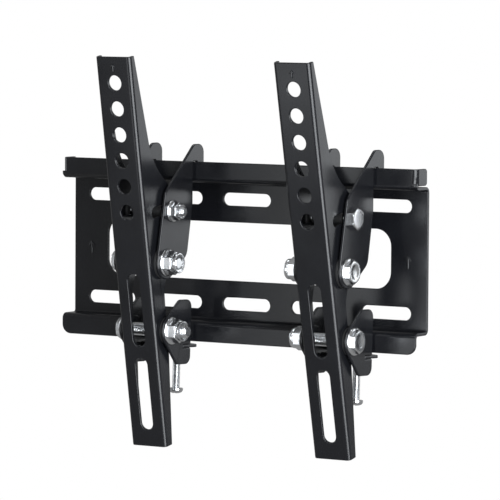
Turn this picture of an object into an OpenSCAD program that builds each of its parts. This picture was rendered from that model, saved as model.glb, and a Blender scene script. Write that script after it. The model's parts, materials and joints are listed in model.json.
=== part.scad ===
// Tilting wall mount for a small flat screen, in millimetres.
// The back of the wall plate is the plane Y = 0, its centre is the origin, and the screen side faces -Y.

/* [Wall plate] */
// Length of the wall plate along the wall
plate_w = 257; // [250:1:420]
// Thickness of the plate's steel sheet
plate_t = 2; // [1.5:0.1:3]
// Height between the two folded ledges
plate_h = 85.6; // [80:0.1:110]
// Distance from the wall to the front of the rails
rail_depth = 16; // [13:0.5:17]
// Height of each rail, from the ledge to its free edge
rail_h = 13; // [11:0.5:15]
// Inside radius of the plate's bends
plate_bend = 1.5; // [0.5:0.1:2]
// Corner radius of the lower rail's ends
rail_corner = 6; // [2:0.5:8]
// Length of the stops folded back at the ends of the upper rail
stop_len = 13; // [9:0.5:14]
// Gap between an end stop and the ledge under it
stop_gap = 0.8; // [0.5:0.1:2]

/* [Wall slots and window] */
// Number of slots in each row
slot_count = 5; // [3:2:5]
// Spacing of the slots along a row
slot_pitch = 50; // [42:1:52]
// Height between the two rows of slots
slot_rows = 65; // [58:0.5:68]
// Full length of a slot
slot_len = 34.5; // [20:0.5:36]
// Height of a slot, for the wall screws
slot_h = 8; // [6:0.1:9]
// Length of the middle window
window_w = 206; // [120:1:210]
// Height of the middle window
window_h = 36.4; // [30:0.2:44]
// Corner radius of the middle window
window_r = 10.5; // [4:0.5:14]

/* [Arms] */
// Length of a screen arm
arm_len = 244.8; // [240:0.2:320]
// Width of a screen arm
arm_w = 25.4; // [22:0.1:30]
// Thickness of the steel sheet of the arms, hooks and catches
sheet_t = 2; // [1.5:0.1:2.5]
// Outside radius of the arm's bends
arm_bend = 2.6; // [2.6:0.1:3.5]
// Number of round screen holes
hole_count = 6; // [3:1:6]
// Distance from the arm's top to the first hole, and from hole to hole
hole_pitch = 16.1; // [14:0.1:16.5]
// Diameter of the round screen holes
hole_d = 9.4; // [6:0.1:10]
// Width of the two long slots, for the screen's screws
arm_slot_w = 8.8; // [6.5:0.1:10]
// Length of each long slot
arm_slot_len = 45.8; // [30:0.2:46]
// Distance from the arm's top to the upper long slot
upper_slot_at = 135.3; // [128:0.1:137]
// Distance from the arm's top to the lower long slot
lower_slot_at = 188.4; // [186:0.1:190]
// Depth of the flanges at the arm's top
flange_top = 5.2; // [4:0.1:7]
// Depth of the flanges where the ears begin
flange_neck = 12.4; // [10:0.1:13]
// Depth of the flanges at the arm's foot
flange_foot = 7.4; // [4:0.1:9]

/* [Tilt] */
// Distance from the wall to the pivot bolt
pivot_out = 46.3; // [46:0.1:52]
// Height of the pivot bolt above the plate's centre
pivot_z = -5.1; // [-8:0.1:-2]
// Distance from the arm's top to the pivot bolt
pivot_down = 130.7; // [128:0.1:132]
// Depth of the pivot bolt behind the arm's front face
pivot_depth = 14.7; // [13.5:0.1:16]
// Forward tilt of the left arm as it stands, in degrees
left_tilt = 10; // [0:0.5:12]
// Forward tilt of the right arm as it stands, in degrees
right_tilt = 12; // [0:0.5:12]
// Greatest forward tilt, in degrees
tilt_forward = 12.5; // [12:0.5:13]
// Greatest backward tilt, in degrees
tilt_back = 15; // [5:0.5:15]
// Radius of the arc slot that the tilt bolt runs in
arc_r = 31.9; // [30:0.1:34]
// Angle from the vertical back to the tilt bolt, in degrees
arc_lean = 10.3; // [6:0.1:14]
// Room between the tilt bolt and each side of its arc slot
arc_play = 0.3; // [0.2:0.05:0.6]

/* [Places along the rail] */
// Middle of the left arm
left_x = -45.9; // [-70:0.1:-40]
// Middle of the right arm
right_x = 83.5; // [70:0.1:90]

/* [Hooks] */
// Distance from the wall to the back of the hook's tongue
tongue_out = 5; // [3:0.1:6]
// Room between the rail and each side of the hook's throat
throat_play = 1.5; // [0.8:0.1:1.8]
// Height of the hook's crown above the rail's edge
crown_h = 10.8; // [9:0.1:14]
// Radius of the hook's round foot about the pivot
hook_foot_r = 10.3; // [9.5:0.1:12]

/* [Catches] */
// Distance along the arm from the pivot bolt to the catch bolt
catch_drop = 42.6; // [40:0.1:44]
// Distance that the catch bolt lies in front of the pivot, across the arm
catch_fore = 2.2; // [2:0.1:3]
// Lean of the catches as they hang, in degrees
catch_lean = 2.4; // [1:0.1:3]
// Distance from the catch bolt back to the catch's straight edge
cheek_back = 22.5; // [20:0.1:22.5]
// Top of a cheek above the catch bolt
cheek_up = 18.9; // [15:0.1:20]
// Bottom of a cheek below the catch bolt
cheek_down = 21.2; // [19:0.1:25]
// Radius of a cheek's round nose about the catch bolt
cheek_nose_r = 9.4; // [9.2:0.1:11]
// Depth of the lock strap's upper face below the catch bolt
strap_drop = 9; // [8.5:0.1:9.5]
// Distance from the catch bolt back to the lock screw
lock_back = 32; // [31:0.1:33]

/* [Fasteners] */
// Diameter of the tilt bolts
tilt_bolt_d = 6; // [5:0.5:6]
// Diameter of the pivot and catch bolts
pivot_bolt_d = 8; // [6:0.5:8]
// Play of a bolt in a drilled hole, across the diameter
bore_play = 0.4; // [0.3:0.05:0.8]
// Play of a bolt in its nut, across the diameter
thread_play = 0.1; // [0.05:0.05:0.2]
// Thickness of the black spacing washers
washer_t = 1.6; // [1.5:0.1:3]
// Running gap between a spacing washer and the arm
washer_gap = 0.1; // [0.05:0.05:0.3]
// Outside diameter of the black sleeve round a tilt bolt
sleeve_d = 9.8; // [8:0.1:12]
// Length that a tilt bolt stands out of its nut
tilt_stub = 2; // [0.2:0.1:5]
// Length that the left catch bolt stands out of its nut
left_catch_stub = 3; // [0.2:0.1:5]
// Length that the right catch bolt stands out of its nut
right_catch_stub = 0.4; // [0.2:0.1:5]
// Depth of a pivot bolt's end below the rim of its nut
pivot_sink = 0.5; // [0.2:0.1:1.5]
// Diameter of the lock screws
lock_d = 5; // [4:0.5:5]
// Length of a lock screw under its head
lock_len = 29; // [24:0.5:34]
// Length of a lock screw's tip above the lock strap
lock_tip = 0.6; // [0:0.1:1]

/* [Hidden] */
$fn = 64;

steel_black = "#1d1f21";
zinc = "#c9ccd0";
polymer_black = "#141516";

// Added to both ends of a cut, so that it passes right through
cut = 1;

// The plate's folds
plate_bend_out = plate_bend + plate_t;
ledge_z = plate_h / 2;
rail_top = ledge_z + rail_h;
rail_front = -rail_depth;
rail_back = rail_front + plate_t;
stop_z = ledge_z + plate_t + stop_gap;
stop_r = 2;

// Where the side plates stand, out from the middle of an arm
side_in = arm_w / 2 + washer_gap + washer_t;
side_out = side_in + sheet_t;

// The tilt bolt, seen from the pivot and from the wall plate's middle
arc_half = tilt_bolt_d / 2 + arc_play;
arc_front = tilt_back - arc_lean;
arc_rear = -arc_lean - tilt_forward;
tilt_y = -pivot_out + arc_r * sin(arc_lean);
tilt_z = pivot_z + arc_r * cos(arc_lean);

// The arm's front face and ends, seen from the pivot
arm_front = -pivot_depth;
arm_foot = pivot_down - arm_len;

// The hook's throat
throat_front = rail_front - throat_play;
throat_back = rail_back + throat_play;
throat_top = rail_top + 0.1;
throat_r = 1;

// The lock strap sits in notches in the cheeks' back edges
notch_in = 14;
notch_play = 0.05;
strap_nose_r = 6.7;
strap_low = -strap_drop - sheet_t;

// Heads and nuts
flange_t = 1.4;
head_h = 3;
head_edge = 0.7;
dish_deep = 0.6;
tilt_head_flats = 12.4;
tilt_head_h = 3.4;
pivot_washer_d = 20;
tilt_washer_d = 13;
catch_washer_d = 17;

function across_flats(d) = 1.6 * d + 0.2;
function flange_d(d) = 1.75 * d + 3;
function nut_h(d) = 0.65 * d;
function collar_h(d) = 0.325 * d;
function nut_stack(d) = flange_t + nut_h(d) + collar_h(d);
function catch_stub(left) = left ? left_catch_stub : right_catch_stub;

// Points along an arc, from one angle to the other
function arc_points(centre, r, from_a, to_a, steps = 8) = [
    for (i = [0 : steps])
        let (a = from_a + (to_a - from_a) * i / steps)
            centre + r * [cos(a), sin(a)]
];

// The two points where an outer tangent touches circles a and b, each given as [x, y, r]
function tangent_points(a, b) =
    let (
        ca = [a[0], a[1]],
        cb = [b[0], b[1]],
        gap = norm(cb - ca),
        u = (cb - ca) / gap,
        k = (a[2] - b[2]) / gap,
        n = k * u + sqrt(1 - k * k) * [u[1], -u[0]]
    )
    [ca + a[2] * n, cb + b[2] * n];

// A convex outline drawn round circles [x, y, r] that are listed counter-clockwise
module belt(discs) {
    last = len(discs) - 1;
    polygon([
        for (i = [0 : last])
            each tangent_points(discs[i], discs[i == last ? 0 : i + 1])
    ]);
    for (disc = discs)
        translate([disc[0], disc[1]])
            circle(disc[2]);
}

// The direction in which point p lies from the centre of disc
function angle_at(disc, p) = atan2(p[1] - disc[1], p[0] - disc[0]);

// The same outline as one list of points, its round corners drawn as arcs of short steps
function belt_points(discs, steps = 12) = [
    for (i = [0 : len(discs) - 1])
        let (
            disc = discs[i],
            before = discs[i == 0 ? len(discs) - 1 : i - 1],
            after = discs[i == len(discs) - 1 ? 0 : i + 1],
            from_a = angle_at(disc, tangent_points(before, disc)[1]),
            to_a = angle_at(disc, tangent_points(disc, after)[0])
        )
        each arc_points([disc[0], disc[1]], disc[2], from_a, to_a < from_a ? to_a + 360 : to_a, steps)
];

// The YZ plane drawn flat, x along +Y and y along +Z, and given a thickness along +X
module side_plate(from_x, thick) {
    translate([from_x, 0, 0])
        rotate([90, 0, 90])
            linear_extrude(thick)
                children();
}

// The XZ plane drawn flat and given a thickness along +Y
module front_cut(from_y, thick) {
    translate([0, from_y + thick, 0])
        rotate([90, 0, 0])
            linear_extrude(thick)
                children();
}

// A slot with round ends, its length along x
module slot_shape(length, width) {
    run = (length - width) / 2;
    square([2 * run, width], center = true);
    for (side = [-1, 1])
        translate([side * run, 0])
            circle(d = width);
}

// A rectangle with round corners
module round_rect(width, height, r) {
    square([width - 2 * r, height], center = true);
    square([width, height - 2 * r], center = true);
    for (sx = [-1, 1], sy = [-1, 1])
        translate([sx * (width / 2 - r), sy * (height / 2 - r)])
            circle(r);
}

// A quarter ring of bent sheet, filling one quadrant about its centre
module sheet_bend(r_in, t, qx, qy) {
    r_out = r_in + t;
    intersection() {
        difference() {
            circle(r_out);
            circle(r_in);
        }
        translate([qx > 0 ? 0 : -r_out, qy > 0 ? 0 : -r_out])
            square(r_out);
    }
}

// One half of the plate's section without its rail: web, ledge and the two bends
module ledge_section() {
    web_end = ledge_z - plate_bend;
    translate([-plate_t, 0])
        square([plate_t, web_end]);
    translate([-plate_bend_out, web_end])
        sheet_bend(plate_bend, plate_t, 1, 1);
    translate([rail_front + plate_bend_out, ledge_z])
        square([rail_depth - 2 * plate_bend_out, plate_t]);
    translate([rail_front + plate_bend_out, ledge_z + plate_bend_out])
        sheet_bend(plate_bend, plate_t, -1, -1);
}

// A rail's flat face, from its bend to a given height
module rail_face(from_z, to_z) {
    translate([rail_front, from_z])
        square([plate_t, to_z - from_z]);
}

// A stop folded back from one end of the upper rail, with rounded back corners
module rail_stop() {
    rear = rail_front + stop_len;
    stop_h = rail_top - stop_z;
    translate([plate_w / 2 - plate_bend_out, rail_front + plate_bend_out, stop_z])
        linear_extrude(stop_h)
            sheet_bend(plate_bend, plate_t, 1, -1);
    side_plate(plate_w / 2 - plate_t, plate_t) {
        translate([rail_front + plate_bend_out, stop_z])
            square([stop_len - plate_bend_out - stop_r, stop_h]);
        translate([rear - stop_r, stop_z + stop_r])
            square([stop_r, stop_h - 2 * stop_r]);
        for (z = [stop_z + stop_r, rail_top - stop_r])
            translate([rear - stop_r, z])
                circle(stop_r);
    }
}

// What rounds off one lower corner of the lower rail
module lower_corner_cut(side) {
    reach = rail_corner + cut;
    front_cut(rail_front - cut, plate_t + 2 * cut)
        difference() {
            translate([side * (plate_w / 2 - rail_corner + reach / 2), -rail_top + rail_corner - reach / 2])
                square(reach, center = true);
            translate([side * (plate_w / 2 - rail_corner), -rail_top + rail_corner])
                circle(rail_corner);
        }
}

module wall_plate() {
    upper_run = plate_w - 2 * plate_bend_out;
    color(steel_black)
        difference() {
            union() {
                side_plate(-plate_w / 2, plate_w) {
                    ledge_section();
                    mirror([0, 1]) {
                        ledge_section();
                        rail_face(ledge_z + plate_bend_out, rail_top);
                    }
                    rail_face(ledge_z + plate_bend_out, stop_z + plate_bend_out - plate_t);
                }
                side_plate(-upper_run / 2, upper_run)
                    rail_face(ledge_z + plate_bend_out, rail_top);
                for (side = [0, 1])
                    mirror([side, 0, 0])
                        rail_stop();
            }
            for (i = [0 : slot_count - 1], row = [-1, 1])
                front_cut(-plate_t - cut, plate_t + 2 * cut)
                    translate([(i - (slot_count - 1) / 2) * slot_pitch, row * slot_rows / 2])
                        slot_shape(slot_len, slot_h);
            front_cut(-plate_t - cut, plate_t + 2 * cut)
                round_rect(window_w, window_h, window_r);
            for (side = [-1, 1])
                lower_corner_cut(side);
        }
}

// Outline of an arm's flange about the pivot: x is back from the pivot, y is up from it
module flange_shape() {
    neck_down = 54;
    neck = [arm_front + flange_neck, pivot_down - neck_down];
    neck_dir = atan2(flange_neck - flange_top, neck_down);
    flare_r = 46;
    flare_turn = 45;
    flare_from = 180 + neck_dir;
    flare_centre = neck + flare_r * [cos(neck_dir), sin(neck_dir)];
    ear_r = arc_half + 5;
    ear_x = -arc_r * sin(arc_rear);
    ear_y = arc_r * cos(arc_rear);
    polygon(concat(
        [[arm_front, pivot_down], [arm_front, arm_foot], [arm_front + flange_foot, arm_foot]],
        [[arm_front + 9, arm_foot + 16], [arm_front + 13.2, -catch_drop - 16]],
        [[arm_front + 13.6, -catch_drop + 10], [arm_front + 14.4, -18], [ear_x + ear_r, ear_y - 8]],
        arc_points([ear_x, ear_y + 6.6], ear_r, 0, flare_turn),
        arc_points(flare_centre, flare_r, flare_from + flare_turn - neck_dir, flare_from),
        [[arm_front + flange_top, pivot_down]]
    ));
    translate([-catch_fore, -catch_drop])
        circle(catch_washer_d / 2);
}

// The curved slot that the tilt bolt runs in, with round ends
module arc_slot_shape() {
    reach = 2 * arc_r;
    intersection() {
        difference() {
            circle(arc_r + arc_half);
            circle(arc_r - arc_half);
        }
        polygon([
            [0, 0],
            reach * [-sin(arc_rear), cos(arc_rear)],
            reach * [-sin(arc_front), cos(arc_front)]
        ]);
    }
    for (a = [arc_front, arc_rear])
        translate(arc_r * [-sin(a), cos(a)])
            circle(arc_half);
}

// Section across the arm at full depth: web, two round bends and two flanges
module channel_section(deep) {
    half = arm_w / 2;
    for (side = [-1, 1]) {
        translate([side > 0 ? half - sheet_t : -half, arm_bend])
            square([sheet_t, deep - arm_bend]);
        translate([side * (half - arm_bend), arm_bend])
            sheet_bend(arm_bend - sheet_t, sheet_t, side, -1);
    }
    translate([-half + arm_bend, 0])
        square([arm_w - 2 * arm_bend, sheet_t]);
}

// A screen arm about its pivot, standing upright
module arm() {
    deep = 60;
    difference() {
        intersection() {
            translate([0, arm_front, arm_foot])
                linear_extrude(arm_len)
                    channel_section(deep);
            side_plate(-arm_w / 2 - cut, arm_w + 2 * cut)
                flange_shape();
        }
        side_plate(-arm_w / 2 - cut, arm_w + 2 * cut) {
            circle(d = pivot_bolt_d + bore_play);
            arc_slot_shape();
            translate([-catch_fore, -catch_drop])
                circle(d = pivot_bolt_d + bore_play);
        }
        for (i = [1 : hole_count])
            front_cut(arm_front - cut, sheet_t + 2 * cut)
                translate([0, pivot_down - i * hole_pitch])
                    circle(d = hole_d);
        for (at = [upper_slot_at, lower_slot_at])
            front_cut(arm_front - cut, sheet_t + 2 * cut)
                translate([0, pivot_down - at - arm_slot_len / 2])
                    rotate(90)
                        slot_shape(arm_slot_len, arm_slot_w);
    }
}

// Outline of a hook plate, drawn in the wall plate's own place
module hook_shape() {
    crown = rail_top + crown_h;
    tongue_low = ledge_z + plate_t + 3;
    tongue_w = -tongue_out - throat_back;
    tip_w = 13.6;
    tip_back_r = 5.5;
    tip_front_r = 4.2;
    foot = [-pivot_out, pivot_z, hook_foot_r];
    back_low = [tilt_y + 9.4, pivot_z + 8.3, 8.4];
    back_high = [throat_front - 7.1, tilt_z + 3.7, 7];
    shoulder = [tilt_y + 1.3, tilt_z + 6.9, 9.5];
    tip_back = [-tongue_out - tip_back_r, crown - tip_back_r, tip_back_r];
    tip_front = [-tongue_out - tip_w + tip_front_r, crown - tip_front_r, tip_front_r];
    difference() {
        union() {
            belt([foot, back_low, back_high, shoulder]);
            belt([shoulder, back_high, tip_back, tip_front]);
        }
        translate([throat_front, 0])
            square([-throat_front, throat_top - throat_r]);
        translate([throat_front + throat_r, 0])
            square([throat_back - throat_front - 2 * throat_r, throat_top]);
        for (y = [throat_front + throat_r, throat_back - throat_r])
            translate([y, throat_top - throat_r])
                circle(throat_r);
    }
    // The tongue drops behind the rail
    translate([throat_back, tongue_low + tongue_w / 2])
        square([tongue_w, crown - tip_back_r - tongue_low - tongue_w / 2]);
    translate([throat_back + tongue_w / 2, tongue_low + tongue_w / 2])
        circle(tongue_w / 2);
}

// A hook plate with its two bolt holes
module hook_plate(from_x) {
    color(steel_black)
        difference() {
            side_plate(from_x, sheet_t)
                hook_shape();
            side_plate(from_x - cut, sheet_t + 2 * cut) {
                translate([-pivot_out, pivot_z])
                    circle(d = pivot_bolt_d + bore_play);
                translate([tilt_y, tilt_z])
                    circle(d = tilt_bolt_d + bore_play);
            }
        }
}

// A cheek of the catch about its bolt, with the notch that holds the lock strap
module cheek(from_x) {
    back_top_r = 5;
    back_low_r = 5;
    fore_top_r = 5;
    fore_low_r = 3;
    fore_in = 5.7;
    notch_h = sheet_t + 2 * notch_play;
    color(steel_black)
        difference() {
            side_plate(from_x, sheet_t)
                polygon(belt_points([
                    [0, 0, cheek_nose_r],
                    [fore_in + fore_low_r, -cheek_down + fore_low_r, fore_low_r],
                    [cheek_back - back_low_r, -cheek_down + back_low_r, back_low_r],
                    [cheek_back - back_top_r, cheek_up - back_top_r, back_top_r],
                    [fore_in + fore_top_r, cheek_up - fore_top_r, fore_top_r]
                ]));
            side_plate(from_x - cut, sheet_t + 2 * cut) {
                circle(d = pivot_bolt_d + bore_play);
                translate([notch_in - notch_play, strap_low - notch_play])
                    square([cheek_back, notch_h]);
            }
        }
}

// Outline of the lock strap: square in front, with two round shoulders and a round nose behind
module strap_shape() {
    shoulder = [side_out - 2, lock_back - 3.6, 2];
    nose = [0, lock_back, strap_nose_r];
    ends = tangent_points(shoulder, nose);
    turn_from = angle_at(shoulder, ends[0]);
    nose_from = angle_at(nose, ends[1]);
    polygon(concat(
        [[-side_out, notch_in], [side_out, notch_in]],
        arc_points([shoulder[0], shoulder[1]], shoulder[2], 0, turn_from, 4),
        arc_points([0, lock_back], strap_nose_r, nose_from, 180 - nose_from, 12),
        arc_points([-shoulder[0], shoulder[1]], shoulder[2], 180 - turn_from, 180, 4)
    ));
}

// The strap that joins the two cheeks and carries the lock screw behind the rail
module lock_strap() {
    color(steel_black)
        translate([0, 0, strap_low])
            difference() {
                linear_extrude(sheet_t)
                    strap_shape();
                translate([0, lock_back, -cut])
                    cylinder(h = sheet_t + 2 * cut, d = lock_d + 2 * thread_play);
            }
}

// The lock screw, head down, with a rounded head and a cross recess
module lock_screw() {
    head_d = 1.8 * lock_d;
    head_high = 0.7 * lock_d;
    recess_w = 0.24 * lock_d;
    recess_l = 1.0 * lock_d;
    top = -strap_drop + lock_tip;
    dome_r = head_d;
    color(zinc)
        translate([0, lock_back, top - lock_len])
            difference() {
                union() {
                    cylinder(h = lock_len, d = lock_d);
                    intersection() {
                        translate([0, 0, -head_high])
                            cylinder(h = head_high, d = head_d);
                        translate([0, 0, dome_r - head_high])
                            sphere(dome_r);
                    }
                }
                for (turn = [0, 90])
                    rotate(turn)
                        translate([-recess_l / 2, -recess_w / 2, -head_high - cut])
                            cube([recess_l, recess_w, 1.6 + cut]);
            }
}

// A hexagon with a chamfered end, its axis along +Z
module hex_head(flats, height) {
    corners = flats / cos(30);
    intersection() {
        cylinder(h = height, d = corners, $fn = 6);
        union() {
            cylinder(h = height - head_edge, d = corners + cut);
            translate([0, 0, height - head_edge])
                cylinder(h = head_edge, d1 = corners + cut, d2 = flats - 0.4);
        }
    }
}

// A bolt along X: its head bears on the outer plate, and its end reaches past the inner one
module through_bolt(d, past, flanged) {
    color(zinc)
        rotate([0, 90, 0]) {
            translate([0, 0, -side_out - past])
                cylinder(h = 2 * side_out + past, d = d);
            translate([0, 0, side_out])
                if (flanged)
                    flange_head(d);
                else
                    hex_head(tilt_head_flats, tilt_head_h);
        }
}

// A hexagon head on a round flange, with a dished top
module flange_head(d) {
    flats = across_flats(d);
    difference() {
        union() {
            cylinder(h = flange_t, d = flange_d(d));
            translate([0, 0, flange_t])
                hex_head(flats, head_h);
        }
        translate([0, 0, flange_t + head_h - dish_deep])
            cylinder(h = dish_deep + cut, d1 = 0.4 * flats, d2 = 0.7 * flats);
    }
}

// A flanged lock nut on the inner plate: flange, six flats and a round collar
module flange_nut(d) {
    flats = across_flats(d);
    color(zinc)
        translate([-side_out, 0, 0])
            rotate([0, -90, 0])
                difference() {
                    union() {
                        cylinder(h = flange_t, d = flange_d(d));
                        translate([0, 0, flange_t])
                            cylinder(h = nut_h(d), d = flats / cos(30), $fn = 6);
                        translate([0, 0, flange_t + nut_h(d)])
                            cylinder(h = collar_h(d), d = flats - 0.6);
                    }
                    translate([0, 0, -cut])
                        cylinder(h = nut_stack(d) + 2 * cut, d = d + thread_play);
                }
}

// The pair of black spacing washers between an arm and its side plates
module washer_pair(d, outer_d) {
    color(polymer_black)
        for (side = [-1, 1])
            translate([side > 0 ? side_in - washer_t : -side_in, 0, 0])
                rotate([0, 90, 0])
                    difference() {
                        cylinder(h = washer_t, d = outer_d);
                        translate([0, 0, -cut])
                            cylinder(h = washer_t + 2 * cut, d = d + bore_play);
                    }
}

// The black sleeve round a tilt bolt, between the arm's two flanges
module tilt_sleeve() {
    half = arm_w / 2 - sheet_t - washer_gap;
    color(polymer_black)
        translate([-half, 0, 0])
            rotate([0, 90, 0])
                difference() {
                    cylinder(h = 2 * half, d = sleeve_d);
                    translate([0, 0, -cut])
                        cylinder(h = 2 * (half + cut), d = tilt_bolt_d + bore_play);
                }
}

// Places: each side's pieces are drawn with their heads towards +X, and the left side is mirrored
module at_side(left) {
    translate([left ? left_x : right_x, 0, 0])
        mirror([left ? 1 : 0, 0, 0])
            children();
}

module at_pivot(left) {
    at_side(left)
        translate([0, -pivot_out, pivot_z])
            children();
}

module at_tilt_bolt(left) {
    at_side(left)
        translate([0, tilt_y, tilt_z])
            children();
}

// The arm's own frame, turned by its tilt
module on_arm(left) {
    at_pivot(left)
        rotate([left ? left_tilt : right_tilt, 0, 0])
            children();
}

module at_catch_bolt(left) {
    on_arm(left)
        translate([0, -catch_fore, -catch_drop])
            children();
}

// The catch's own frame, which hangs at its own lean whatever the arm's tilt
module on_catch(left) {
    at_catch_bolt(left)
        rotate([-(left ? left_tilt : right_tilt) - catch_lean, 0, 0])
            children();
}

module side_node(left, name) {
    if (name == "arm")
        on_arm(left)
            color(steel_black)
                arm();
    if (name == "hook_outer")
        at_side(left)
            hook_plate(side_in);
    if (name == "hook_inner")
        at_side(left)
            hook_plate(-side_out);
    if (name == "tilt_bolt")
        at_tilt_bolt(left)
            through_bolt(tilt_bolt_d, nut_stack(tilt_bolt_d) + tilt_stub, false);
    if (name == "tilt_nut")
        at_tilt_bolt(left)
            flange_nut(tilt_bolt_d);
    if (name == "tilt_washers")
        at_tilt_bolt(left)
            washer_pair(tilt_bolt_d, tilt_washer_d);
    if (name == "tilt_sleeve")
        at_tilt_bolt(left)
            tilt_sleeve();
    if (name == "pivot_bolt")
        at_pivot(left)
            through_bolt(pivot_bolt_d, nut_stack(pivot_bolt_d) - pivot_sink, true);
    if (name == "pivot_nut")
        at_pivot(left)
            flange_nut(pivot_bolt_d);
    if (name == "pivot_washers")
        at_pivot(left)
            washer_pair(pivot_bolt_d, pivot_washer_d);
    if (name == "catch_bolt")
        at_catch_bolt(left)
            through_bolt(pivot_bolt_d, nut_stack(pivot_bolt_d) + catch_stub(left), true);
    if (name == "catch_nut")
        at_catch_bolt(left)
            flange_nut(pivot_bolt_d);
    if (name == "catch_washers")
        at_catch_bolt(left)
            washer_pair(pivot_bolt_d, catch_washer_d);
    if (name == "cheek_outer")
        on_catch(left)
            cheek(side_in);
    if (name == "cheek_inner")
        on_catch(left)
            cheek(-side_out);
    if (name == "lock_strap")
        on_catch(left)
            lock_strap();
    if (name == "lock_screw")
        on_catch(left)
            lock_screw();
}

wall_plate();
side_node(true, "arm");  // left_arm
side_node(true, "hook_outer");  // left_hook_outer
side_node(true, "hook_inner");  // left_hook_inner
side_node(true, "tilt_bolt");  // left_tilt_bolt
side_node(true, "tilt_nut");  // left_tilt_nut
side_node(true, "tilt_washers");  // left_tilt_washers
side_node(true, "tilt_sleeve");  // left_tilt_sleeve
side_node(true, "pivot_bolt");  // left_pivot_bolt
side_node(true, "pivot_nut");  // left_pivot_nut
side_node(true, "pivot_washers");  // left_pivot_washers
side_node(true, "catch_bolt");  // left_catch_bolt
side_node(true, "catch_nut");  // left_catch_nut
side_node(true, "catch_washers");  // left_catch_washers
side_node(true, "cheek_outer");  // left_cheek_outer
side_node(true, "cheek_inner");  // left_cheek_inner
side_node(true, "lock_strap");  // left_lock_strap
side_node(true, "lock_screw");  // left_lock_screw
side_node(false, "arm");  // right_arm
side_node(false, "hook_outer");  // right_hook_outer
side_node(false, "hook_inner");  // right_hook_inner
side_node(false, "tilt_bolt");  // right_tilt_bolt
side_node(false, "tilt_nut");  // right_tilt_nut
side_node(false, "tilt_washers");  // right_tilt_washers
side_node(false, "tilt_sleeve");  // right_tilt_sleeve
side_node(false, "pivot_bolt");  // right_pivot_bolt
side_node(false, "pivot_nut");  // right_pivot_nut
side_node(false, "pivot_washers");  // right_pivot_washers
side_node(false, "catch_bolt");  // right_catch_bolt
side_node(false, "catch_nut");  // right_catch_nut
side_node(false, "catch_washers");  // right_catch_washers
side_node(false, "cheek_outer");  // right_cheek_outer
side_node(false, "cheek_inner");  // right_cheek_inner
side_node(false, "lock_strap");  // right_lock_strap
side_node(false, "lock_screw");  // right_lock_screw
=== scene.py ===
# %% [markdown]
# A tilting wall mount, dressed for a studio picture.
# The mount is bent steel sheet with a satin black powder coat, held together by bright zinc-plated
# bolts. The solids come ready made from the frame. This lesson softens their edges, cuts threads
# on their bolts, presses an arrow into the sheet, and gives every surface its finish.

# %% The frame
import json
import math
import bmesh
import bpy
import numpy as np
from mathutils import Matrix, Vector


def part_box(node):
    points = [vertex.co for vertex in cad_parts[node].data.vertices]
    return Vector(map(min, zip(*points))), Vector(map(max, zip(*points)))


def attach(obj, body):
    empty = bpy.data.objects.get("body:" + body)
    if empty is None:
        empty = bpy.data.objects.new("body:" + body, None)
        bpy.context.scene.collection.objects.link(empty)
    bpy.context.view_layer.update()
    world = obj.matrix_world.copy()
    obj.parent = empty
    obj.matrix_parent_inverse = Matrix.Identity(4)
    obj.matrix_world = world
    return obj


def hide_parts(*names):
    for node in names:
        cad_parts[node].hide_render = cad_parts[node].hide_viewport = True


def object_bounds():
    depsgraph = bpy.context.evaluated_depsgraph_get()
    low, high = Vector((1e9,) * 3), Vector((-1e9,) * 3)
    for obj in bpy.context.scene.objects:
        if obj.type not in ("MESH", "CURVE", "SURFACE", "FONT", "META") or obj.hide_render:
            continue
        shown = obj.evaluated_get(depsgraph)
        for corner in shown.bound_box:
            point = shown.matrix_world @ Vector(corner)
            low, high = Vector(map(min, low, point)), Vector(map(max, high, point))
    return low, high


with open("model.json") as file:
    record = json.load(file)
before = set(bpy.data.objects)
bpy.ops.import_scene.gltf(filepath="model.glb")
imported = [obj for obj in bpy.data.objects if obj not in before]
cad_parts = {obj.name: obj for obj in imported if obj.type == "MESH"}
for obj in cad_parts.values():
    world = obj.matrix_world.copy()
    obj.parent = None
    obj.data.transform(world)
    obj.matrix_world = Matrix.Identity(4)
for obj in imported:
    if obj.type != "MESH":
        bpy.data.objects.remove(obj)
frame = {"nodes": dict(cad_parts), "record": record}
cad_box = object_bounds()
scene = bpy.context.scene
MM = 0.001

# %% [markdown]
# The camera stands to the right of the mount and a little above it, far off, with a long lens.
# Such a lens keeps the two arms nearly parallel, as a product photographer wants them. A Track To
# constraint could aim it, but knows nothing of a slight roll. So the camera's three axes are worked
# out from the azimuth, the pitch and the roll, and go into its matrix.

# %% Camera
AZIMUTH, PITCH, ROLL = math.radians(32.0), math.radians(3.92), math.radians(0.38)
DISTANCE = 2456.13 * MM
TARGET = Vector((13.87, -20.0, 3.02)) * MM
SENSOR, FOCAL_PIXELS, PICTURE = 36.0, 4007.76, 500
CLIP_END = 50


def new_object(name, data):
    """An object that holds the data, put into the scene at the origin."""
    thing = bpy.data.objects.new(name, data)
    scene.collection.objects.link(thing)
    return thing


def add_camera():
    """Axes of a camera that looks back along (azimuth, pitch), turned by the roll."""
    back = Vector((math.sin(AZIMUTH) * math.cos(PITCH),
                   -math.cos(AZIMUTH) * math.cos(PITCH),
                   math.sin(PITCH)))
    level = Vector((math.cos(AZIMUTH), math.sin(AZIMUTH), 0))
    right = math.cos(ROLL) * level + math.sin(ROLL) * back.cross(level)
    data = bpy.data.cameras.new("camera")
    data.sensor_width = SENSOR
    data.lens = FOCAL_PIXELS * SENSOR / PICTURE
    data.clip_end = CLIP_END
    camera = new_object("camera", data)
    turn = Matrix((right, back.cross(right), back)).transposed().to_4x4()
    camera.matrix_world = Matrix.Translation(TARGET + back * DISTANCE) @ turn
    return camera


scene.camera = add_camera()
print("lens of", round(scene.camera.data.lens, 1), "mm")

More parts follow.
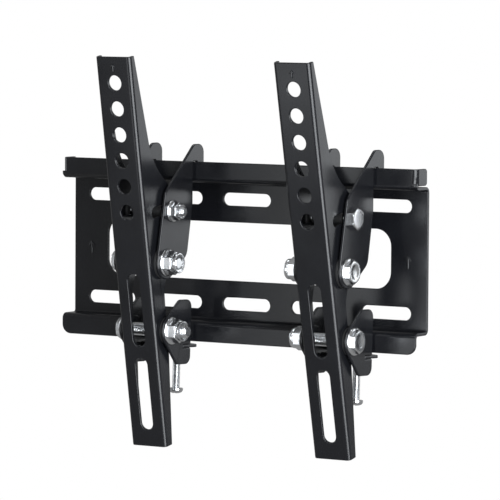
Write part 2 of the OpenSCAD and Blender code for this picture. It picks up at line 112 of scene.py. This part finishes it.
# %% [markdown]
# Black paint is seen by what it reflects, so the lamps matter more than its colour, and each one
# hangs where some face of the mount mirrors it to the camera. A tall one to the right draws the
# thin bright line down the bend of each arm. One higher up, in front to the right, lights the rims
# of the holes. One far to the left and one overhead keep the other edges from being lost. A small
# one in front to the left is mirrored only by the right end of the plate. The last one, behind to
# the right, shines on the flat ends of the bolts and on the sides of the arms.
# The camera sees none of the lamps.

# %% Lamps
scene.view_settings.view_transform = "Standard"
LAMP_COLOUR = (0.93, 0.965, 1.0)
LAMPS = {
    "lamp_right": ((1.12, -0.76, -0.08), (1.06, 1.2), 36),
    "lamp_rims": ((0.85, -0.95, 0.87), (0.7, 0.6), 15),
    "lamp_left": ((-1.8, -0.5, 0.6), (0.6, 1.4), 9),
    "lamp_above": ((-0.1, 0.3, 1.7), (1.1, 0.5), 8),
    "lamp_plate": ((-0.22, -0.74, -0.03), (0.36, 0.4), 0.9),
    "lamp_behind": ((1.3, 1.9, 0.4), (1.2, 1.2), 8.5),
}


def add_lamp(name, place, size, power):
    """A soft oblong lamp at a place in metres, of a size in metres, facing the mount's middle."""
    data = bpy.data.lights.new(name, "AREA")
    data.shape = "RECTANGLE"
    data.size, data.size_y = size
    data.energy = power
    data.color = LAMP_COLOUR
    lamp = new_object(name, data)
    lamp.location = place
    lamp.rotation_euler = (Vector(place) - TARGET).to_track_quat("Z", "Y").to_euler()
    lamp.visible_camera = False


for name, (place, size, power) in LAMPS.items():
    add_lamp(name, place, size, power)
print(len(LAMPS), "lamps of", sum(power for _, _, power in LAMPS.values()), "W in all")

# %% [markdown]
# The ground is plain white, as in a catalogue. A white wall lit by lamps could do that, but its
# light would also fall on the mount. A Light Path node says outright what each kind of ray gets.
# The camera sees the world at full white. Mirrors see it at about a third, so the zinc is bright
# and keeps its shades. All other rays see it dimmer still, so the black paint stays black.

# %% World
WHITE_IN_MIRRORS, WHITE_TO_OBJECT = 0.3, 0.2


def seen_white(tree, dim):
    """Strength = dim + camera * (1 - dim) + glossy * (mirror strength - dim).

    A ray is a camera ray, a glossy ray or neither, so at most one of the two terms counts."""
    path = tree.nodes.new("ShaderNodeLightPath")
    steps = []
    for ray, level in (("Is Camera Ray", 1.0), ("Is Glossy Ray", WHITE_IN_MIRRORS)):
        step = tree.nodes.new("ShaderNodeMath")
        step.operation = "MULTIPLY_ADD"
        tree.links.new(path.outputs[ray], step.inputs[0])
        step.inputs[1].default_value = level - dim
        steps.append(step)
    for_camera, for_mirrors = steps
    for_camera.inputs[2].default_value = dim
    tree.links.new(for_camera.outputs["Value"], for_mirrors.inputs[2])
    return for_mirrors.outputs["Value"]


world = bpy.data.worlds.new("studio")
world.use_nodes = True
scene.world = world
ground = world.node_tree.nodes["Background"]
ground.inputs["Color"].default_value = (1, 1, 1, 1)
strength = seen_white(world.node_tree, WHITE_TO_OBJECT)
world.node_tree.links.new(strength, ground.inputs["Strength"])
print("world white to the camera,", WHITE_IN_MIRRORS, "in mirrors,", WHITE_TO_OBJECT, "elsewhere")

# %% [markdown]
# A wide disc lies well below the mount. To the camera and in mirrors it is as white as the world,
# so its rim never shows.

# %% Floor
FLOOR_DROP, FLOOR_RADIUS, FLOOR_CORNERS, FLOOR_GREY = 0.62, 4.0, 64, 0.5
FLOOR_LEVEL = cad_box[0].z - FLOOR_DROP


def floor_finish():
    """Mix = the larger of a ray's camera and glossy flags: 1 is the white glow, 0 the matt grey."""
    finish = bpy.data.materials.new("floor")
    finish.use_nodes = True
    tree = finish.node_tree
    tree.nodes.clear()
    out = tree.nodes.new("ShaderNodeOutputMaterial")
    mix = tree.nodes.new("ShaderNodeMixShader")
    matt = tree.nodes.new("ShaderNodeBsdfDiffuse")
    glow = tree.nodes.new("ShaderNodeEmission")
    path = tree.nodes.new("ShaderNodeLightPath")
    either = tree.nodes.new("ShaderNodeMath")
    matt.inputs["Color"].default_value = (FLOOR_GREY, FLOOR_GREY, FLOOR_GREY, 1)
    either.operation = "MAXIMUM"
    tree.links.new(path.outputs["Is Camera Ray"], either.inputs[0])
    tree.links.new(path.outputs["Is Glossy Ray"], either.inputs[1])
    tree.links.new(either.outputs["Value"], mix.inputs["Fac"])
    tree.links.new(seen_white(tree, 0.0), glow.inputs["Strength"])
    tree.links.new(matt.outputs["BSDF"], mix.inputs[1])
    tree.links.new(glow.outputs["Emission"], mix.inputs[2])
    tree.links.new(mix.outputs["Shader"], out.inputs["Surface"])
    return finish


ring = np.linspace(0, 2 * math.pi, FLOOR_CORNERS, endpoint=False)
corners = np.c_[FLOOR_RADIUS * np.cos(ring), FLOOR_RADIUS * np.sin(ring),
                np.full(FLOOR_CORNERS, FLOOR_LEVEL)]
disc = bpy.data.meshes.new("floor")
disc.from_pydata(corners.tolist(), [], [list(range(FLOOR_CORNERS))])
disc.materials.append(floor_finish())
floor = new_object("floor", disc)
print("floor at", round(FLOOR_LEVEL, 3), "m")

# %% [markdown]
# Three finishes cover the mount. Each is a Principled material whose roughness and relief waver a
# little, as real coats do. Pictures of real surfaces could give that too, but noise has no seams,
# and on Object coordinates its grain has the same size on every piece.

# %% Nodes for finishes
NOISE_LOW, NOISE_HIGH = 0.3, 0.7


def new_finish(name, colour, metallic, roughness):
    """A Principled material, with its tree, its shader and each point's place on the object."""
    finish = bpy.data.materials.new(name)
    finish.use_nodes = True
    tree = finish.node_tree
    shader = tree.nodes["Principled BSDF"]
    shader.inputs["Base Color"].default_value = (*colour, 1)
    shader.inputs["Metallic"].default_value = metallic
    shader.inputs["Roughness"].default_value = roughness
    place = tree.nodes.new("ShaderNodeTexCoord").outputs["Object"]
    return finish, tree, shader, place


def noise(tree, place, scale, detail):
    """Noise with features about 1/scale metres across, mostly between NOISE_LOW and NOISE_HIGH."""
    node = tree.nodes.new("ShaderNodeTexNoise")
    node.inputs["Scale"].default_value = scale
    node.inputs["Detail"].default_value = detail
    tree.links.new(place, node.inputs["Vector"])
    return node.outputs["Fac"]


def vary_roughness(tree, shader, value, low, high):
    """Roughness runs from low to high as a noise runs over its middle range."""
    node = tree.nodes.new("ShaderNodeMapRange")
    node.inputs["From Min"].default_value = NOISE_LOW
    node.inputs["From Max"].default_value = NOISE_HIGH
    node.inputs["To Min"].default_value = low
    node.inputs["To Max"].default_value = high
    tree.links.new(value, node.inputs["Value"])
    tree.links.new(node.outputs["Result"], shader.inputs["Roughness"])


def tint(tree, shader, value, dark, light):
    """Colour runs from dark to light as a noise runs over its middle range."""
    node = tree.nodes.new("ShaderNodeValToRGB")
    stops = node.color_ramp.elements
    for stop, position, colour in zip(stops, (NOISE_LOW, NOISE_HIGH), (dark, light)):
        stop.position = position
        stop.color = (*colour, 1)
    tree.links.new(value, node.inputs["Fac"])
    tree.links.new(node.outputs["Color"], shader.inputs["Base Color"])


def raise_bump(tree, shader, height, depth):
    """Turns a value into relief of that depth in metres."""
    node = tree.nodes.new("ShaderNodeBump")
    node.inputs["Strength"].default_value = 1.0
    node.inputs["Distance"].default_value = depth
    tree.links.new(height, node.inputs["Height"])
    tree.links.new(node.outputs["Normal"], shader.inputs["Normal"])


print("noise is read from", NOISE_LOW, "to", NOISE_HIGH)

# %% [markdown]
# Powder coat is plastic, dusted on the steel and baked. Close up it has a faint orange peel, and
# its gloss and colour waver over a few centimetres. The peel is much too fine to model, so a fast
# noise raises it through a Bump node, and two slow ones move the roughness and the colour.
# Zinc plate is a metal, so it has the colours of what it mirrors, over its own light grey. Bolts
# that have been handled are a little uneven, in patches of a few millimetres. The washers and
# sleeves are moulded black plastic, too rough for any clear reflection.

# %% Three finishes
def powder_coat():
    """Nearly black, faintly blue, satin."""
    finish, tree, shader, place = new_finish("powder_coat", (0.006, 0.0063, 0.0074), 0.0, 0.22)
    shader.inputs["Specular IOR Level"].default_value = 0.4
    vary_roughness(tree, shader, noise(tree, place, 35, 3), 0.2, 0.25)
    tint(tree, shader, noise(tree, place, 60, 3), (0.0044, 0.0046, 0.0058), (0.006, 0.0064, 0.0078))
    raise_bump(tree, shader, noise(tree, place, 1400, 2), 0.000006)
    return finish


def zinc_plate():
    """Bright grey metal, faintly blue in its darker patches."""
    finish, tree, shader, place = new_finish("zinc_plate", (0.72, 0.735, 0.75), 1.0, 0.22)
    vary_roughness(tree, shader, noise(tree, place, 300, 3), 0.18, 0.26)
    tint(tree, shader, noise(tree, place, 160, 3), (0.66, 0.675, 0.69), (0.76, 0.765, 0.775))
    raise_bump(tree, shader, noise(tree, place, 900, 2), 0.000004)
    return finish


def moulded_black():
    """Dull black plastic."""
    finish, tree, shader, place = new_finish("moulded_black", (0.012, 0.012, 0.0125), 0.0, 0.6)
    vary_roughness(tree, shader, noise(tree, place, 300, 3), 0.52, 0.68)
    raise_bump(tree, shader, noise(tree, place, 2600, 2), 0.00001)
    return finish


FINISHES = {
    "powder_coat": powder_coat(),
    "zinc_steel": zinc_plate(),
    "washer_polymer": moulded_black(),
}
slot_of = {part["node"]: part["material_slot"] for part in frame["record"]["subparts"]}
for name, node in frame["nodes"].items():
    node.data.materials.clear()
    node.data.materials.append(FINISHES[slot_of[name]])
print(len(FINISHES), "finishes on", len(slot_of), "nodes")

# %% [markdown]
# A bolt or a sheet that is made anew has to take the old one's place: it hides the plain solid,
# moves with the same body and wears the same finish. Two small helpers say so for every piece.

# %% In place of a node
body_of = {
    node: body for body, nodes in frame["record"]["behaviour"]["bodies"].items() for node in nodes
}


def belong(piece, node):
    """The piece moves and looks as the node does. A copy of the node has its finish already."""
    if not piece.data.materials:
        piece.data.materials.append(FINISHES[slot_of[node]])
    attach(piece, body_of[node])


def settle(piece, node):
    """The piece stands for the node, which is hidden."""
    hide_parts(node)
    belong(piece, node)


print(len(body_of), "nodes with a body")

# %% [markdown]
# Punched and bent sheet never has a knife edge: the coat flows round it and catches the light.
# The solids arrive as loose triangles, which no modifier can round. So a copy of each sheet is
# welded, its flat faces are made whole again, and a Bevel modifier runs round its edges.
# Bevel can pick the edges by their angle, but at the ends of the upper rail there is no room for a
# round, and it would throw out a spike there. So every edge gets a weight, which is nought there.

# %% Softened sheet
WELD_GAP, FLAT_ANGLE = 2e-6, math.radians(0.5)
SHARP_EDGE, BEVEL_SEGMENTS = math.radians(25), 3
TIGHT_ACROSS, TIGHT_DEPTH, TIGHT_HEIGHT = 122, (-16.2, -13.4), (44.5, 48)


def weld(mesh, gap, flat_angle=0.0):
    """Joins vertices nearer than the gap, makes flat faces whole if asked, and shades smooth."""
    work = bmesh.new()
    work.from_mesh(mesh)
    bmesh.ops.remove_doubles(work, verts=work.verts, dist=gap)
    if flat_angle:
        bmesh.ops.dissolve_limit(work, angle_limit=flat_angle, verts=work.verts, edges=work.edges)
    for face in work.faces:
        face.smooth = True
    work.to_mesh(mesh)
    work.free()


def merged_copy(node, name):
    """A welded copy of a node's mesh, with whole flat faces."""
    mesh = frame["nodes"][node].data.copy()
    mesh.name = name
    weld(mesh, WELD_GAP, FLAT_ANGLE)
    return new_object(name, mesh)


def in_tight_corner(place):
    """True where the rail's lip ends against its relief cut, near both ends of the upper rail."""
    across, depth, height = abs(place.x) / MM, place.y / MM, place.z / MM
    return (across > TIGHT_ACROSS and TIGHT_DEPTH[0] < depth < TIGHT_DEPTH[1]
            and TIGHT_HEIGHT[0] < height < TIGHT_HEIGHT[1])


def soften(piece, width):
    """Rounds every sharp edge outside the tight corners, and keeps the flats' shading flat."""
    work = bmesh.new()
    work.from_mesh(piece.data)
    weight = work.edges.layers.float.new("bevel_weight_edge")
    for edge in work.edges:
        middle = (edge.verts[0].co + edge.verts[1].co) / 2
        sharp = len(edge.link_faces) == 2 and edge.calc_face_angle() > SHARP_EDGE
        edge[weight] = float(sharp and not in_tight_corner(middle))
    work.to_mesh(piece.data)
    work.free()
    bevel = piece.modifiers.new("edge", "BEVEL")
    bevel.limit_method = "WEIGHT"
    bevel.width = width
    bevel.segments = BEVEL_SEGMENTS
    bevel.use_clamp_overlap = False
    flats = piece.modifiers.new("flats", "WEIGHTED_NORMAL")
    flats.keep_sharp = False
    return piece


print("edges over", round(math.degrees(SHARP_EDGE)), "degrees are rounded")

# %% [markdown]
# The small flat plates that hook over the rail and carry the catch have a wider bright edge than
# the wall plate and the arms, so they get a wider round.

# %% Sheets in place
SIDES = ("left", "right")
COAT_EDGE, PLATE_EDGE = 0.5 * MM, 0.75 * MM
SHEET_PIECES = ("arm", "hook_outer", "hook_inner", "cheek_outer", "cheek_inner", "lock_strap")
SHEET_NODES = ["wall_plate"] + [f"{side}_{piece}" for side in SIDES for piece in SHEET_PIECES]
for node in SHEET_NODES:
    width = PLATE_EDGE if "hook" in node or "cheek" in node else COAT_EDGE
    settle(soften(merged_copy(node, node + "_sheet"), width), node)
print(len(SHEET_NODES), "sheets softened")

# %% [markdown]
# The moulded washers and the sleeve round each tilt bolt get the same copy. They come out of a
# mould with a finer edge than a sheet has.

# %% Washers and sleeves
MOULDED_EDGE = 0.2 * MM
MOULDED_NODES = [node for node, slot in slot_of.items() if slot == "washer_polymer"]
for node in MOULDED_NODES:
    settle(soften(merged_copy(node, node + "_moulded"), MOULDED_EDGE), node)
print(len(MOULDED_NODES), "moulded pieces softened")

# %% [markdown]
# Bolts and nuts are turned round an axis, so one helper makes them all. It takes a list of
# stations, each with a distance along the axis and a radius, and spins it through sixty directions.
# A Boolean modifier could cut a hexagon out of a round bar, but it leaves long thin faces. Here a
# station can be marked as cut, and then its radius can't pass the hexagon. A cone that runs into a
# hexagon this way leaves the curved chamfer that every real nut has.

# %% Turned grids
CORNER_STEPS = np.radians([-30, -28, -25, -19, -10, 0, 10, 19, 25, 28])
AROUND = (CORNER_STEPS + np.radians(np.arange(0, 360, 60))[:, None]).ravel()
CORNER_POWER = 40


def hexagon(flats):
    """Radius of a hexagon in each direction: half its flats over the largest cosine to a flat.

    The largest is taken as a sum of fortieth powers, which rounds the corners a little."""
    cosines = np.abs(np.cos(AROUND[:, None] - np.radians([0, 60, 120])))
    return flats / 2 / (cosines ** CORNER_POWER).sum(axis=1) ** (1 / CORNER_POWER)


def plain(*stations):
    """Stations that stay round."""
    return [(distance, radius, 0) for distance, radius in stations]


def cut(*stations):
    """Stations that the hexagon cuts."""
    return [(distance, radius, 1) for distance, radius in stations]


def turned(stations, flats=None):
    """Two grids, distance and radius, with a row for each station, a column for each direction.

    In a cut row the radius is the smaller of the station's and the hexagon's."""
    stations = np.array(stations, float)
    distance = np.repeat(stations[:, :1], len(AROUND), axis=1)
    radius = np.repeat(stations[:, 1:2], len(AROUND), axis=1)
    if flats:
        cuts = stations[:, 2] > 0
        radius[cuts] = np.minimum(radius[cuts], hexagon(flats))
    return distance, radius


NUT_FLATS = 13.0
print(len(AROUND), "directions,", round(float(hexagon(NUT_FLATS).max()), 2), "mm to a corner")

# %% [markdown]
# A grid of points becomes a mesh when each point is joined to its neighbours. A bolt's grid starts
# and ends on its axis, where a whole row shares one point, and a nut's grid runs back to its start
# through the bore. Both come out closed, with no caps to add.

# %% Grids to meshes
GRID_GAP, SHARP_ANGLE = 1e-7, math.radians(38)


def on_axis(distance, radius, base, axis, first):
    """Points at base + distance * axis + radius * (first * cosine + second * sine of direction)."""
    axis, first = np.array(axis, float), np.array(first, float)
    second = np.cross(axis, first)
    spoke = np.cos(AROUND)[:, None] * first + np.sin(AROUND)[:, None] * second
    return np.array(base) + distance[..., None] * axis + radius[..., None] * spoke


def skin(name, points, poles):
    """A closed surface over a grid of points in millimetres, whose columns run round it.

    With poles, its first and last rows are single points. Without, its last row joins its first."""
    rows, columns = points.shape[:2]
    index = np.arange(rows * columns).reshape(rows, columns)
    near, far = (index[:-1], index[1:]) if poles else (index, np.roll(index, -1, axis=0))
    quads = np.stack([near, far, np.roll(far, -1, axis=1), np.roll(near, -1, axis=1)], axis=-1)
    mesh = bpy.data.meshes.new(name)
    mesh.from_pydata((points.reshape(-1, 3) * MM).tolist(), [], quads.reshape(-1, 4).tolist())
    weld(mesh, GRID_GAP)
    mesh.set_sharp_from_angle(angle=SHARP_ANGLE)
    return new_object(name, mesh)


print("creases over", round(math.degrees(SHARP_ANGLE)), "degrees stay sharp")

# %% [markdown]
# A thread is a ridge that climbs one pitch in each turn. A Screw modifier could sweep it, but its
# ends are hard to close. On a grid it is only a wave in the distance along the bolt less the turned
# angle, so no helix has to be modelled. The wave is clipped flat at its crest and its root, as
# rolled threads are, and a cone thins the last turn so that a nut can start on it.

# %% Threads
M8, M6, M5 = (8.0, 1.25), (6.0, 1.0), (5.0, 0.8)
ROWS_PER_PITCH = 8
THREAD_DEPTH, END_DEPTH = 0.6, 0.85
RIDGE_SLOPE, RIDGE_DROP = 1.35, 0.12


def threaded(length, diameter, pitch):
    """Grids of a threaded shank: radius = half the diameter less the depth times (1 - ridge).

    The ridge is a triangle wave of distance / pitch - direction / a full turn, clipped at both
    ends. Near the shank's end the radius can't pass a cone that widens as fast as it is long."""
    along = np.linspace(0.0, -length, int(length / pitch * ROWS_PER_PITCH))
    distance = np.repeat(along[:, None], len(AROUND), axis=1)
    wave = np.abs(((distance / pitch - AROUND / (2 * np.pi)) % 1) * 2 - 1)
    ridge = np.clip(RIDGE_SLOPE * wave - RIDGE_DROP, 0, 1)
    radius = diameter / 2 - THREAD_DEPTH * pitch * (1 - ridge)
    run_out = diameter / 2 - END_DEPTH * pitch + (distance - along[-1])
    return distance, np.minimum(radius, run_out)


print("M8 thread", THREAD_DEPTH * M8[1], "mm deep")

# %% [markdown]
# Two heads are used. The M8 bolts have a hexagon on a round flange, with a shallow dish in its top.
# The M6 tilt bolts have a wide, low hexagon. Both are pressed, so their tops are soft and their
# chamfers wide. Their stations run from the middle of the top down to the sheet.

# %% Heads
DISH = ((0.55, 0.0), (0.55, 0.1), (0.5, 0.2), (0.3, 0.28), (0.05, 0.33), (0.0, 0.36), (0.0, 0.45))
INSIDE_FLATS, ALONG_CONE = 0.475, 0.12
PAST_CORNERS = 0.6


def chamfered(top, flats, drop=0.75, rows=5):
    """Stations of a cone that runs from just inside the flats out past the corners."""
    steps = np.linspace(0, 1, rows)
    return cut(*((top - drop * step, (INSIDE_FLATS + ALONG_CONE * step) * flats) for step in steps))


def flange_below(flats, flange, thick):
    """Stations of the hexagon's foot, and of a flange's slope, round nose and flat underside."""
    foot, edge = PAST_CORNERS * flats, flange / 2
    return cut((thick + 0.25, foot), (thick + 0.12, foot)) + plain(
        (thick + 0.1, edge - 1.25), (thick - 0.35, edge - 0.35), (thick - 0.55, edge - 0.08),
        (0.45 * thick, edge), (0.15, edge), (0.0, edge - 0.2))


def dished_head(flats, flange, thick, height):
    """A hexagon of some height on a flange of some thickness. The dish is given in DISH, as
    millimetres below the top and a share of the flats."""
    top = thick + height
    dish = plain(*((top - sunk, share * flats) for sunk, share in DISH))
    return turned(dish + chamfered(top, flats) + flange_below(flats, flange, thick), flats)


def low_head(flats, height):
    """A flat-topped hexagon with a soft crown, and a foot that is rounded under."""
    crown = plain((height, 0), (height, 0.2 * flats), (height, 0.4 * flats),
                  (height - 0.03, 0.46 * flats))
    foot = cut((0.3, PAST_CORNERS * flats), (0.1, PAST_CORNERS * flats), (0, 0.575 * flats))
    return turned(crown + chamfered(height - 0.06, flats, 0.5) + foot, flats)


def bolt(name, head, thread, length, base, axis, first):
    """A head, a threaded shank and a flat end, as one surface."""
    distance, radius = head
    shank, shank_radius = threaded(length, *thread)
    end = shank[-1:]
    rows = np.concatenate([distance, shank, end])
    radii = np.concatenate([radius, shank_radius, np.zeros_like(end)])
    return skin(name, on_axis(rows, radii, base, axis, first), poles=True)


print(len(DISH), "stations in the dish")

# %% [markdown]
# The nuts are lock nuts. A collar above the hexagon is rolled in over a ring that grips the thread.
# The ring, the collar and the flange could be three meshes, but a single walk round the section
# makes them one: up the ring, over the collar, down the hexagon, round the flange and back in.

# %% Lock nuts
NUT_FLANGE, BORE_PLAY = 1.4, 0.05


def lock_nut(name, thread, base, axis, first):
    """A flange, six flats and a rolled collar with the ring inside it, closed through the bore."""
    diameter = thread[0]
    flats, flange = 1.6 * diameter + 0.2, 1.75 * diameter + 3
    hexagon_top, top = NUT_FLANGE + 0.65 * diameter, NUT_FLANGE + 0.975 * diameter
    bore, collar = diameter / 2 + BORE_PLAY, flats / 2 - 0.3
    mouth = collar - 0.13 * diameter
    ring = plain((top - 1.0, bore), (top - 0.9, bore + 0.12), (top - 0.75, mouth - 0.1),
                 (top - 0.6, mouth), (top - 0.15, mouth + 0.05))
    rolled = plain((top, mouth + 0.3), (top, collar - 0.45), (top - 0.15, collar - 0.12),
                   (top - 0.45, collar))
    waist = plain((hexagon_top + 0.7, collar), (hexagon_top + 0.3, collar - 0.2),
                  (hexagon_top + 0.12, collar - 0.5), (hexagon_top, collar - 0.45))
    outside = chamfered(hexagon_top, flats, 0.7) + flange_below(flats, flange, NUT_FLANGE)
    inside = plain((0, bore + 0.2), (0.2, bore))
    distance, radius = turned(ring + rolled + waist + outside + inside, flats)
    return skin(name, on_axis(distance, radius, base, axis, first), poles=False)


print("a nut's bore has", BORE_PLAY, "mm of play")

# %% [markdown]
# Each bolt lies along X. Its node's box gives its axis and its two ends, and from them come the
# faces on which head and nut bear. The left side is a mirror image, so its heads face the other
# way, but its threads stay right-handed, which is why it isn't made by a Mirror modifier.
# Heads and nuts stop a hair short of the sheet, so that no two faces share a plane.

# %% Bolts and nuts in place
TILT_FLATS, TILT_HEIGHT = 12.4, 3.4
FLANGE_WIDTH, FLANGE_THICK, FLATS_HEIGHT = 17.0, 1.4, 3.0
SEAT_GAP = 0.01
BACK = (0, 1, 0)
flanged = dished_head(NUT_FLATS, FLANGE_WIDTH, FLANGE_THICK, FLATS_HEIGHT)
HEADS = {
    "tilt": (low_head(TILT_FLATS, TILT_HEIGHT), M6, TILT_HEIGHT),
    "pivot": (flanged, M8, FLANGE_THICK + FLATS_HEIGHT),
    "catch": (flanged, M8, FLANGE_THICK + FLATS_HEIGHT),
}


def middle_and_span(node):
    """The middle of a node's box and the box's length along X, in millimetres."""
    low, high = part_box(node)
    return (Vector(low) + Vector(high)) / 2 / MM, (high[0] - low[0]) / MM


for side in SIDES:
    outward = 1 if side == "right" else -1
    for kind, (head, thread, height) in HEADS.items():
        node = f"{side}_{kind}_bolt"
        middle, span = middle_and_span(node)
        base = (middle.x + outward * (span / 2 - height + SEAT_GAP), middle.y, middle.z)
        axis = (outward, 0, 0)
        settle(bolt(node + "_threaded", head, thread, span - height, base, axis, BACK), node)
        node = f"{side}_{kind}_nut"
        middle, span = middle_and_span(node)
        base = (middle.x + outward * (span / 2 - SEAT_GAP), middle.y, middle.z)
        axis = (-outward, 0, 0)
        settle(lock_nut(node + "_turned", thread, base, axis, BACK), node)
print(len(SIDES) * len(HEADS), "bolts and as many nuts")

# %% [markdown]
# The lock screws stand head down, square to their strap. Their pan heads have a cross recess. It
# could be cut out with a Boolean, but on a grid it is just a dent in the distance: two tapered
# grooves that cross in the middle.

# %% Pan head
PAN_RADIUS, PAN_HEIGHT, PAN_SIDE = 4.5, 3.5, 1.2
CROWN_RADIUS = 2 * PAN_RADIUS
GROOVE_HALF, GROOVE_REACH, GROOVE_DEPTH = 0.75, 2.7, 1.5
SHOULDER, SHOULDER_RUN, SHOULDER_DROP = 3.5, 0.95, 0.9


def pan_head():
    """Distance falls from the crown by a circle's arc, and more past the shoulder, by the square
    of the way there. The deeper of two grooves is then taken off it.

    A groove is full within its half width, and fades over a quarter of a millimetre beside it and
    three tenths at its ends."""
    reach = np.concatenate([np.linspace(0, 3.4, 18), [3.7, 4.0, 4.2, 4.35, 4.45]])
    radius = np.repeat(reach[:, None], len(AROUND), axis=1)
    distance = PAN_HEIGHT - (CROWN_RADIUS - np.sqrt(CROWN_RADIUS ** 2 - radius ** 2))
    distance -= SHOULDER_DROP * np.clip((radius - SHOULDER) / SHOULDER_RUN, 0, 1) ** 2
    across, along = radius * np.cos(AROUND), radius * np.sin(AROUND)
    grooves = [
        np.clip((GROOVE_HALF - np.abs(a)) / 0.25, 0, 1)
        * np.clip((GROOVE_REACH - np.abs(b)) / 0.3, 0, 1)
        for a, b in ((across, along), (along, across))
    ]
    distance -= GROOVE_DEPTH * np.maximum(*grooves)
    side = plain((PAN_SIDE, PAN_RADIUS), (0.25, PAN_RADIUS), (0.0, PAN_RADIUS - 0.2))
    side_distance, side_radius = turned(side)
    return np.concatenate([distance, side_distance]), np.concatenate([radius, side_radius])


print("pan head", PAN_HEIGHT, "mm high")

# %% [markdown]
# A lock screw's own solid is tilted, so its box doesn't give its ends. Its axis is that of the
# joint that it travels along, and its tip is the flat end that lies furthest along that axis.

# %% Lock screws
LOCK_LENGTH = 29.0
END_REACH = 0.01
ACROSS = (1, 0, 0)


def end_of(node, axis):
    """The middle of the flat end that lies furthest along an axis, from the node's vertices."""
    mesh = frame["nodes"][node].data
    places = np.empty(len(mesh.vertices) * 3)
    mesh.vertices.foreach_get("co", places)
    places = places.reshape(-1, 3) / MM
    along = places @ axis
    end = places[along > along.max() - END_REACH]
    return (end.min(axis=0) + end.max(axis=0)) / 2


joints = frame["record"]["behaviour"]["joints"]
travel = {joint["name"]: np.array(joint["axis"], float) for joint in joints}
for side in SIDES:
    node = f"{side}_lock_screw"
    up = travel[f"{side}_lock_travel"]
    up /= np.linalg.norm(up)
    base = end_of(node, up) - LOCK_LENGTH * up
    settle(bolt(node + "_threaded", pan_head(), M5, LOCK_LENGTH, base, -up, ACROSS), node)
print("lock screws of", LOCK_LENGTH, "mm")

# %% [markdown]
# The plate and the arms bear a pressed arrow that tells the fitter which way is up. A bump in the
# material would vanish from the side, so it is real relief. Each stroke is a low ridge, made as a
# capsule that is flattened towards the sheet and sunk to half its height.

# %% Strokes of an arrow
STROKE_WIDTH, STROKE_RISE = 1.2, 0.75
ARROW = [((0, -3.4), (0, 3.2)), ((-1.9, 1.2), (0, 3.4)), ((1.9, 1.2), (0, 3.4))]
SECTION_STEPS, HALF_END_STEPS = 16, 5


def stroke(start, finish):
    """Points of a flat capsule, whose spine runs from start to finish and whose ends are round.

    Along it the size is the cosine of a half turn at each end and 1 between. A column's direction
    round the section gives its cosine times half the width, and its sine times the rise."""
    start, finish = np.array(start), np.array(finish)
    length = np.linalg.norm(finish - start)
    lead = (finish - start) / length
    swing = np.linspace(-np.pi / 2, np.pi / 2, 2 * HALF_END_STEPS - 1)
    swing = np.concatenate([swing[:HALF_END_STEPS], swing[HALF_END_STEPS - 1:]])
    run, size = STROKE_WIDTH / 2 * np.sin(swing), np.cos(swing)
    run[HALF_END_STEPS:] += length
    around = np.linspace(0, 2 * np.pi, SECTION_STEPS, endpoint=False)
    wide = STROKE_WIDTH / 2 * size[:, None] * np.cos(around)
    high = STROKE_RISE * size[:, None] * np.sin(around)
    flat = start + run[:, None, None] * lead + wide[..., None] * np.array([lead[1], -lead[0]])
    return np.concatenate([flat, high[..., None]], axis=-1)


def arrow(name, place, up, out, node, size=1.0):
    """The strokes laid on a node's sheet at a place, by the sheet's up and its outward direction.

    The size scales an arrow across and up, and leaves its rise as it is."""
    place, up, out = (np.array(v, float) for v in (place, up, out))
    across = np.cross(up, out)
    for number, ends in enumerate(ARROW):
        points = stroke(*ends)
        laid = place + size * (points[..., :1] * across + points[..., 1:2] * up)
        belong(skin(f"{name}_{number}", laid + points[..., 2:] * out, poles=True), node)


print(len(ARROW), "strokes in an arrow")

# %% [markdown]
# On the plate the arrows stand upright, one beside each end. On the arms they lean as the arm does,
# so their place is measured from the arm's pivot, along its face and out of it, and then turned.

# %% Arrows in place
PLATE_ARROW, PLATE_ARROW_HEIGHT, PLATE_FRONT = 115.3, -1.5, -2.0
PIVOT_AND_LEAN = {"left": (-45.9, -46.3, -5.1, 10), "right": (83.5, -46.3, -5.1, 12)}
ARM_FACE, ARROW_UP, ARM_ARROW_SIZE = -14.7, 123.9, 0.62
for side, x in zip(SIDES, (-PLATE_ARROW, PLATE_ARROW)):
    place = (x, PLATE_FRONT, PLATE_ARROW_HEIGHT)
    arrow(f"plate_arrow_{side}", place, (0, 0, 1), (0, -1, 0), "wall_plate")
for side, (x, y, z, lean) in PIVOT_AND_LEAN.items():
    cosine, sine = math.cos(math.radians(lean)), math.sin(math.radians(lean))
    place = (x, y + ARM_FACE * cosine - ARROW_UP * sine, z + ARM_FACE * sine + ARROW_UP * cosine)
    up, out = (0, -sine, cosine), (0, -cosine, -sine)
    arrow(f"arm_arrow_{side}", place, up, out, f"{side}_arm", ARM_ARROW_SIZE)
print("arrows on the plate and the arms")
